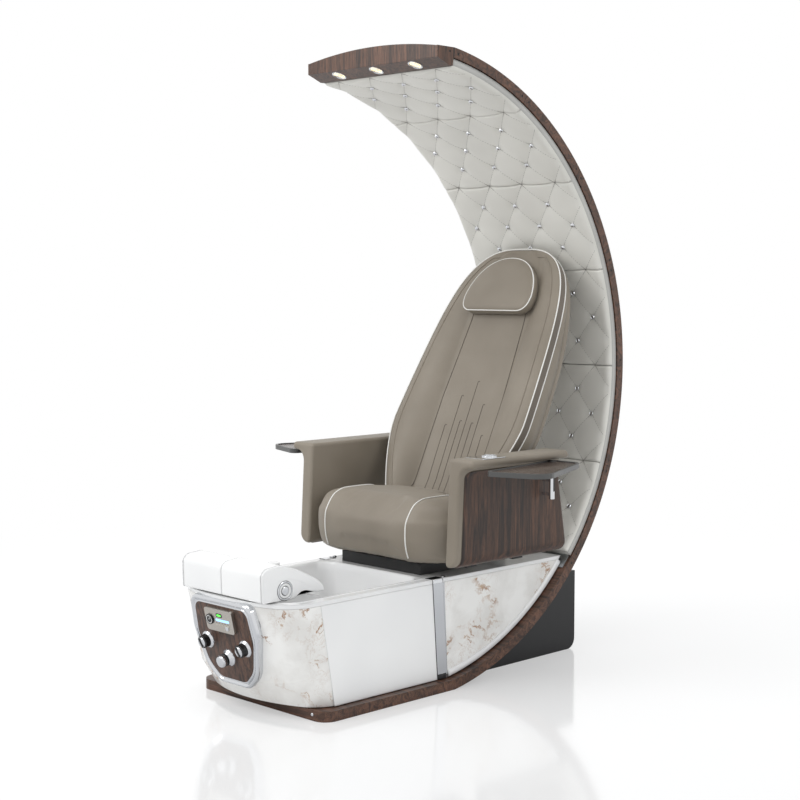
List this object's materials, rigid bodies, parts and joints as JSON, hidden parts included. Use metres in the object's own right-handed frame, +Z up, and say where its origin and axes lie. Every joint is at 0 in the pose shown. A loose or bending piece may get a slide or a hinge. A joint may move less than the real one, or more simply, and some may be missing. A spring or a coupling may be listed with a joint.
{
  "type": "pedicure spa chair",
  "caption": "Pedicure spa chair: lit, tufted timber arch over a reclining massage seat on a foot tub with swing trays, split footrest and front valve panel.",
  "frame": {"origin": "centre of the bounding box at floor level", "axes": "+Z up, the sitter faces -Y, +X is the sitter's left"},
  "size_m": [1.3628, 1.7081, 2.2076],
  "materials": {
    "walnut": "satin walnut veneer",
    "white_vinyl": "matte",
    "taupe_leather": "matte",
    "white_acrylic": "gloss",
    "marble_laminate": "gloss with tan veins",
    "chrome": "polished",
    "steel": "brushed",
    "black_coat": "satin",
    "black_plastic": "matte",
    "champagne_plastic": "satin",
    "lens": "frosted",
    "tray_plastic": "satin",
    "carriage_steel": "satin"
  },
  "bodies": {
    "base": {"sled_base": "walnut", "arch_segment_1": "walnut", "arch_segment_2": "walnut", "arch_segment_3": "walnut", "arch_segment_4": "walnut", "arch_segment_5": "walnut", "arch_segment_6": "walnut", "liner_panel_1": "white_vinyl", "liner_panel_2": "white_vinyl", "liner_panel_3": "white_vinyl", "liner_panel_4": "white_vinyl", "liner_panel_5": "white_vinyl", "liner_panel_6": "white_vinyl", "tuft_buttons": "chrome", "joint_plates": "steel", "joint_screws": "black_coat", "light_bar": "walnut", "downlights": "lens", "chassis": "black_coat", "deck": "white_acrylic", "tub_basin": "white_acrylic", "front_wrap": "marble_laminate", "side_skirt_left": "white_acrylic", "side_skirt_right": "white_acrylic", "rear_panel_left": "marble_laminate", "rear_panel_right": "marble_laminate", "trim_bands": "chrome", "drain": "chrome", "jet_cover": "white_acrylic", "footrest_base": "white_acrylic", "footrest_axle": "chrome", "spray_holder": "chrome", "control_bezel": "chrome", "control_fascia": "walnut", "display_pod": "champagne_plastic", "pump_housing": "black_plastic", "seat_plinth": "black_coat", "slide_rails": "steel", "arm_left": "taupe_leather", "arm_right": "taupe_leather", "arm_cladding_left": "walnut", "arm_cladding_right": "walnut", "arm_plate": "chrome", "tray_post_left": "chrome", "tray_post_right": "chrome"},
    "seat": {"seat_carriage": "carriage_steel", "seat_cushion": "taupe_leather"},
    "back": {"back_shell": "taupe_leather", "back_cushion": "taupe_leather", "headrest": "taupe_leather"},
    "tray_left": {"tray_left": "tray_plastic"},
    "tray_right": {"tray_right": "tray_plastic"},
    "footrest_left": {"footrest_pad_left": "white_acrylic"},
    "footrest_right": {"footrest_pad_right": "white_acrylic"},
    "spray": {"spray_head": "white_acrylic"},
    "dial": {"mode_dial": "black_plastic"},
    "key": {"start_key": "chrome"},
    "valve_left": {"valve_knob_left": "chrome"},
    "valve_right": {"valve_knob_right": "chrome"},
    "diverter": {"diverter_knob": "chrome"}
  },
  "joints": [
    {"name": "seat_slide", "type": "slide", "parent": "base", "child": "seat", "axis": [0, -1, 0], "range_m": [0, 0.11]},
    {"name": "back_recline", "type": "hinge", "parent": "seat", "child": "back", "pos_m": [0, 0.2373, 0.592], "axis": [1, 0, 0], "range_deg": [0, 10]},
    {"name": "tray_left_swing", "type": "hinge", "parent": "base", "child": "tray_left", "pos_m": [0.44, 0.2953, 0.765], "axis": [0, 0, 1], "range_deg": [-3, 65]},
    {"name": "tray_right_swing", "type": "hinge", "parent": "base", "child": "tray_right", "pos_m": [-0.44, 0.2953, 0.765], "axis": [0, 0, -1], "range_deg": [-3, 65]},
    {"name": "footrest_left_tilt", "type": "hinge", "parent": "base", "child": "footrest_left", "pos_m": [0, -0.74394, 0.423], "axis": [-1, 0, 0], "range_deg": [0, 5]},
    {"name": "footrest_right_tilt", "type": "hinge", "parent": "base", "child": "footrest_right", "pos_m": [0, -0.74394, 0.423], "axis": [-1, 0, 0], "range_deg": [0, 5]},
    {"name": "spray_lift", "type": "slide", "parent": "base", "child": "spray", "axis": [0, 0, 1], "range_m": [0, 0.06]},
    {"name": "mode_dial_turn", "type": "hinge", "parent": "base", "child": "dial", "pos_m": [-0.0465, -0.83951, 0.3103], "axis": [0, -0.9748, -0.2233], "continuous": true},
    {"name": "start_key_press", "type": "slide", "parent": "base", "child": "key", "axis": [0, 0.9748, 0.2233], "range_m": [0, 0.002], "stiffness_N_per_m": 400},
    {"name": "valve_left_turn", "type": "hinge", "parent": "base", "child": "valve_left", "pos_m": [0.096, -0.81652, 0.22786], "axis": [0, -0.9748, -0.2233], "range_deg": [-135, 135]},
    {"name": "valve_right_turn", "type": "hinge", "parent": "base", "child": "valve_right", "pos_m": [-0.096, -0.81652, 0.22786], "axis": [0, -0.9748, -0.2233], "range_deg": [-135, 135]},
    {"name": "diverter_turn", "type": "hinge", "parent": "base", "child": "diverter", "pos_m": [0, -0.8058, 0.18107], "axis": [0, -0.9748, -0.2233], "range_deg": [-90, 90]}
  ]
}
